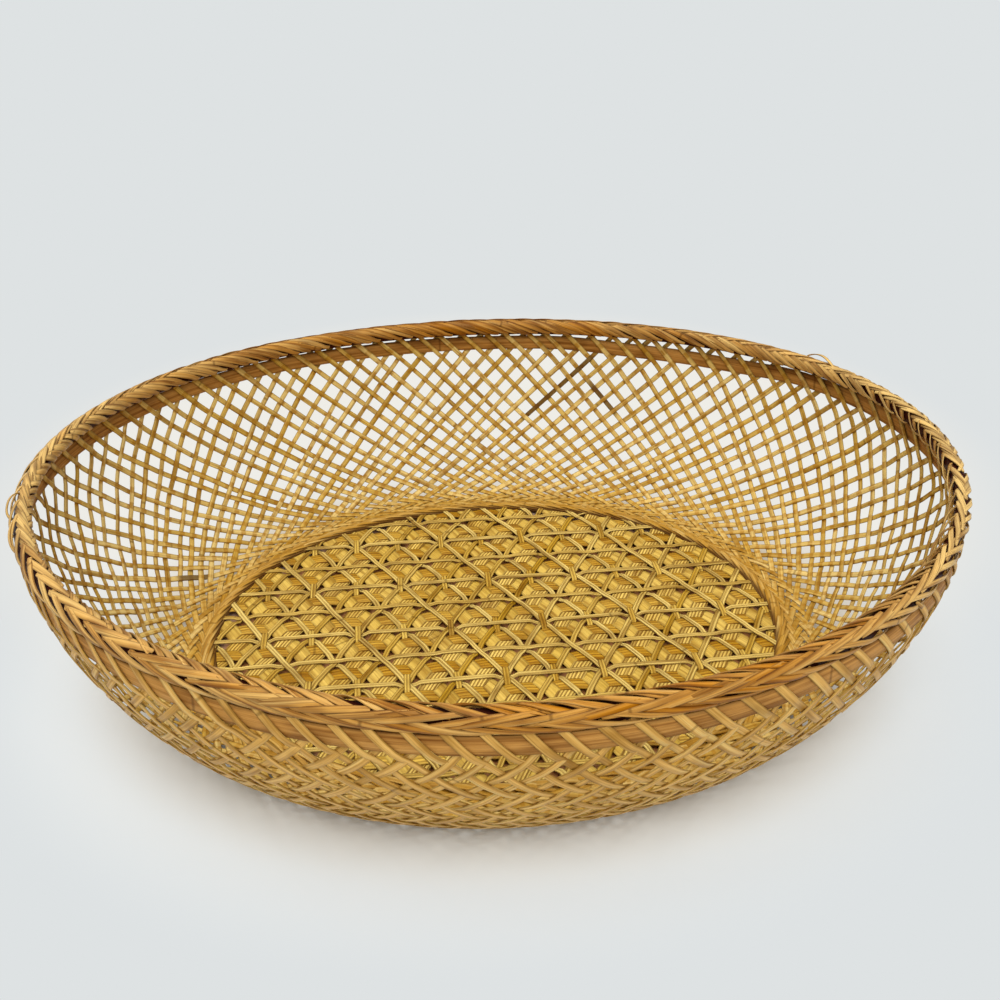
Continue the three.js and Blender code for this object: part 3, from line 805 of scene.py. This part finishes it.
# Ends of a straight strip at a distance from the middle, where its edges leave the mat's oval
def mat_span(distance, heading, width):
    cos = np.cos(heading)
    sin = np.sin(heading)
    ends = []
    for offset in (distance - width / 2, distance + width / 2):
        a = (cos / MAT_HALF[0]) ** 2 + (sin / MAT_HALF[1]) ** 2
        b = offset * sin * cos * (1 / MAT_HALF[1] ** 2 - 1 / MAT_HALF[0] ** 2)
        c = (offset * sin / MAT_HALF[0]) ** 2 + (offset * cos / MAT_HALF[1]) ** 2 - 1
        reach = np.sqrt(max(b * b - a * c, 0))
        ends.append(((-b - reach) / a, (-b + reach) / a))
    return max(end[0] for end in ends), min(end[1] for end in ends)


# All the mat strips of one kind, side by side and a pitch apart. The phase moves them aside by a share of
# the pitch, and tones is the range of their tones. Narrow rising strips that lie low are deeper in colour.
def mat_strips(kind, heading, pitch, phase, width, section, tones):
    way = np.array([np.cos(heading), np.sin(heading)])
    aside = np.array([-way[1], way[0]])
    shift = aside @ np.array(MAT_SHIFT)
    wide = width == WIDE_WIDTH
    strips = []
    for row in range(-10, 11):
        distance = (row + phase) * pitch + shift
        start, end = mat_span(distance, heading, width)
        if end - start < SHORTEST_MAT_STRIP:
            continue
        along = np.linspace(start, end, int((end - start) / 1.1))
        flat = way * along[:, None] + aside * distance
        if kind == "tie":
            height = tie_height(*flat.T)
        elif wide:
            height = wide_height(kind, *flat.T)
        else:
            height = narrow_height(kind, *flat.T)
        sway = 0.25 * np.sin(along / 9 + chance.uniform(0, 6.3))
        sway = sway + 0.2 * np.sin(along / 21 + chance.uniform(0, 6.3))
        drift = chance.normal(0, 0.25)
        flat = flat + aside * (sway * (0.5 if wide else 1) + drift)[:, None]
        points = np.concatenate([flat, height[:, None]], 1)
        up = np.tile([0, 0, 1.0], (len(points), 1))
        low = kind == "rising" and not wide and not is_odd(mat_place(*flat[0])[1])
        tone = chance.uniform(*tones) + 0.35 * low
        own_width = width * chance.uniform(0.93, 1.04)
        strips.append(Strip(points, up, own_width, MAT_THICKNESS, section, tone=tone))
    return strips


def nodes_named(start):
    return [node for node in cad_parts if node.startswith(start)]


def add_mat():
    slant_pitch = MAT_TIE * np.sin(MAT_SLANT)
    narrows = (
        ("rising", MAT_SLANT, slant_pitch, (0.3, 0.75), "mat_rising_strips"),
        ("falling", -MAT_SLANT, slant_pitch, (0.0, 0.35), "mat_falling_strips"),
        ("long", 0, MAT_ROW, (0.2, 0.65), "mat_long_narrow"),
    )
    wides = (
        ("rising", MAT_SLANT, slant_pitch, (0.0, 0.8), "mat_rising_strips", mat_ribbed_cane),
        ("falling", -MAT_SLANT, slant_pitch, (0.0, 0.5), "mat_falling_strips", mat_plain_cane),
        ("long", 0, MAT_ROW, (0.0, 1.0), "mat_long_wide", mat_lined_cane),
    )
    for kind, heading, pitch, tones, solids in narrows:
        strips = mat_strips(kind, heading, pitch, 0, NARROW_WIDTH, grooved_section, tones)
        strips_object(f"mat_{kind}_narrow", strips, mat_narrow_cane, "mat_narrow", *nodes_named(solids))
    for kind, heading, pitch, tones, solids, cane in wides:
        strips = mat_strips(kind, heading, pitch, 0.5, WIDE_WIDTH, flat_section, tones)
        strips_object(f"mat_{kind}_wide", strips, cane, "mat_wide", *nodes_named(solids))
    strips = mat_strips("tie", np.pi / 2, MAT_TIE, 0, NARROW_WIDTH, grooved_section, (0.0, 0.8))
    strips_object("mat_ties", strips, mat_tie_cane, "mat_tie", *nodes_named("mat_cross_tie"))


add_wall()
add_band()
add_plait()
add_mat()


# Floor, light and camera

# Colours of the backdrop and the far floor, and of the floor in the light of the lamps
PALE_GREY = linear("DEE2E3")
FLOOR_WHITE = linear("D8DCDC")
# Right under the floor mat the floor is painted in deep brown shade, and close to the base its glow takes a
# painted warm light, as if bounced from the cane.
MAT_SHADE = (0.42, 0.17, 0.045)
WARM_BOUNCE_LIGHT = linear("DAC8AA")
# A painted pool of light glows on the floor behind the basket, where the wall's openings show it: the
# pool's colour, and the middle and half size of its oval
POOL_COLOUR = linear("EFEDE6")
POOL_MIDDLE = (16.24, 138.45)
POOL_HALF = (232.0, 195.0)
# Half the size of the studio floor, in metres
STUDIO_HALF = 4.0


# One for the rays that see the background: straight, in a reflection or through glass
def seen_rays(tree):
    rays = add_node(tree, "ShaderNodeLightPath")
    seen = maths(tree, "ADD", rays.outputs["Is Camera Ray"], rays.outputs["Is Glossy Ray"])
    return maths(tree, "ADD", seen, rays.outputs["Is Transmission Ray"])


# How far a point of the floor is from the middle of an oval, where 1 is on the oval itself
def oval_distance(tree, place, half, middle=(0, 0)):
    share = add_node(tree, "ShaderNodeVectorMath", operation="MULTIPLY_ADD")
    share.inputs[1].default_value = (1 / (half[0] * MM), 1 / (half[1] * MM), 0)
    share.inputs[2].default_value = (-middle[0] / half[0], -middle[1] / half[1], 0)
    tree.links.new(place, share.inputs[0])
    length = add_node(tree, "ShaderNodeVectorMath", operation="LENGTH")
    tree.links.new(share.outputs[0], length.inputs[0])
    return length.outputs["Value"]


# The floor takes the basket's soft shadow, and under the mat it has painted shade. Behind the basket a
# painted pool of light glows over the shadow. Away from the basket it fades to one even pale grey.
def add_floor():
    mesh = bpy.data.meshes.new("studio_floor")
    corners = [(x * STUDIO_HALF, y * STUDIO_HALF, 0) for x, y in ((-1, -1), (1, -1), (1, 1), (-1, 1))]
    mesh.from_pydata(corners, [], [(0, 1, 2, 3)])
    floor = bpy.data.objects.new("studio_floor", mesh)
    bpy.context.scene.collection.objects.link(floor)
    material = bpy.data.materials.new("pale_floor")
    material.use_nodes = True
    tree = material.node_tree
    link = tree.links.new
    shader = tree.nodes["Principled BSDF"]
    shader.inputs["Roughness"].default_value = 0.7
    place = add_node(tree, "ShaderNodeTexCoord").outputs["Object"]
    from_base = oval_distance(tree, place, FLOOR_HALF)
    from_pool = oval_distance(tree, place, POOL_HALF, POOL_MIDDLE)
    # Under the mat the floor's colour is painted brown as shade.
    painted_shade_base = mixed(tree, ramp(tree, from_base, 0.95, 1.1, smooth=True), MAT_SHADE, FLOOR_WHITE)
    link(painted_shade_base, shader.inputs["Base Color"])
    pooled = ramp(tree, from_pool, 1.15, 0.8, smooth=True)
    even = mixed(tree, pooled, PALE_GREY, POOL_COLOUR)
    # Near the base the glow takes a painted warm light, as if bounced from the cane.
    even = mixed(tree, ramp(tree, from_base, 1.12, 1.5, smooth=True), WARM_BOUNCE_LIGHT, even)
    glow = add_node(tree, "ShaderNodeEmission")
    link(even, glow.inputs["Color"])
    # The even colour starts closer to the base behind the basket than in front of it.
    far = ramp(tree, from_base, 1.08, 1.85, smooth=True)
    beside = ramp(tree, from_base, 1.02, 1.3, smooth=True)
    # Behind the basket the painted pool of light glows over the basket's shadow.
    behind = maths(tree, "MULTIPLY", maths(tree, "MULTIPLY", pooled, beside), 0.85)
    evened_out = maths(tree, "MAXIMUM", far, behind)
    mix = add_node(tree, "ShaderNodeMixShader")
    link(maths(tree, "MULTIPLY", seen_rays(tree), evened_out), mix.inputs[0])
    link(shader.outputs[0], mix.inputs[1])
    link(glow.outputs[0], mix.inputs[2])
    link(mix.outputs[0], tree.nodes["Material Output"].inputs["Surface"])
    mesh.materials.append(material)


# What the lamps face, in metres
BASKET_MIDDLE = (0, 0, 0.04)
WORLD_STRENGTH = 0.42


# A soft round lamp that faces the middle of the basket. Its place and size are in metres.
def add_lamp(name, place, size, power, colour):
    data = bpy.data.lights.new(name, "AREA")
    data.shape = "DISK"
    data.size = size
    data.energy = power
    data.color = colour
    lamp = bpy.data.objects.new(name, data)
    lamp.location = place
    way = Vector(BASKET_MIDDLE) - Vector(place)
    lamp.rotation_euler = way.to_track_quat("-Z", "Y").to_euler()
    bpy.context.scene.collection.objects.link(lamp)


# The world lights the basket evenly. Where the camera sees it, it is the same pale grey as the floor.
def add_world():
    world = bpy.data.worlds.new("studio")
    world.use_nodes = True
    tree = world.node_tree
    light = tree.nodes["Background"]
    light.inputs["Color"].default_value = (1.0, 0.99, 0.98, 1)
    light.inputs["Strength"].default_value = WORLD_STRENGTH
    backdrop = add_node(tree, "ShaderNodeBackground")
    backdrop.inputs["Color"].default_value = (*PALE_GREY, 1)
    rays = add_node(tree, "ShaderNodeLightPath")
    mix = add_node(tree, "ShaderNodeMixShader")
    tree.links.new(rays.outputs["Is Camera Ray"], mix.inputs[0])
    tree.links.new(light.outputs[0], mix.inputs[1])
    tree.links.new(backdrop.outputs[0], mix.inputs[2])
    tree.links.new(mix.outputs[0], tree.nodes["World Output"].inputs["Surface"])
    bpy.context.scene.world = world


def add_camera():
    data = bpy.data.cameras.new("camera")
    data.lens = CAMERA_LENS
    data.sensor_width = CAMERA_SENSOR
    data.clip_start = 0.01
    camera = bpy.data.objects.new("camera", data)
    camera.location = np.array(CAMERA_PLACE) * MM
    camera.rotation_euler = (np.radians(90 - CAMERA_PITCH), 0, np.radians(CAMERA_HEADING))
    bpy.context.scene.collection.objects.link(camera)
    bpy.context.scene.camera = camera


add_floor()
add_lamp("window", (-0.8, 0.6, 2.4), 2.0, 34, (1.0, 0.99, 0.97))
add_lamp("front", (0.0, -1.3, 2.0), 1.6, 42, (1.0, 0.98, 0.95))
add_world()
add_camera()
bpy.context.scene.view_settings.view_transform = "Standard"
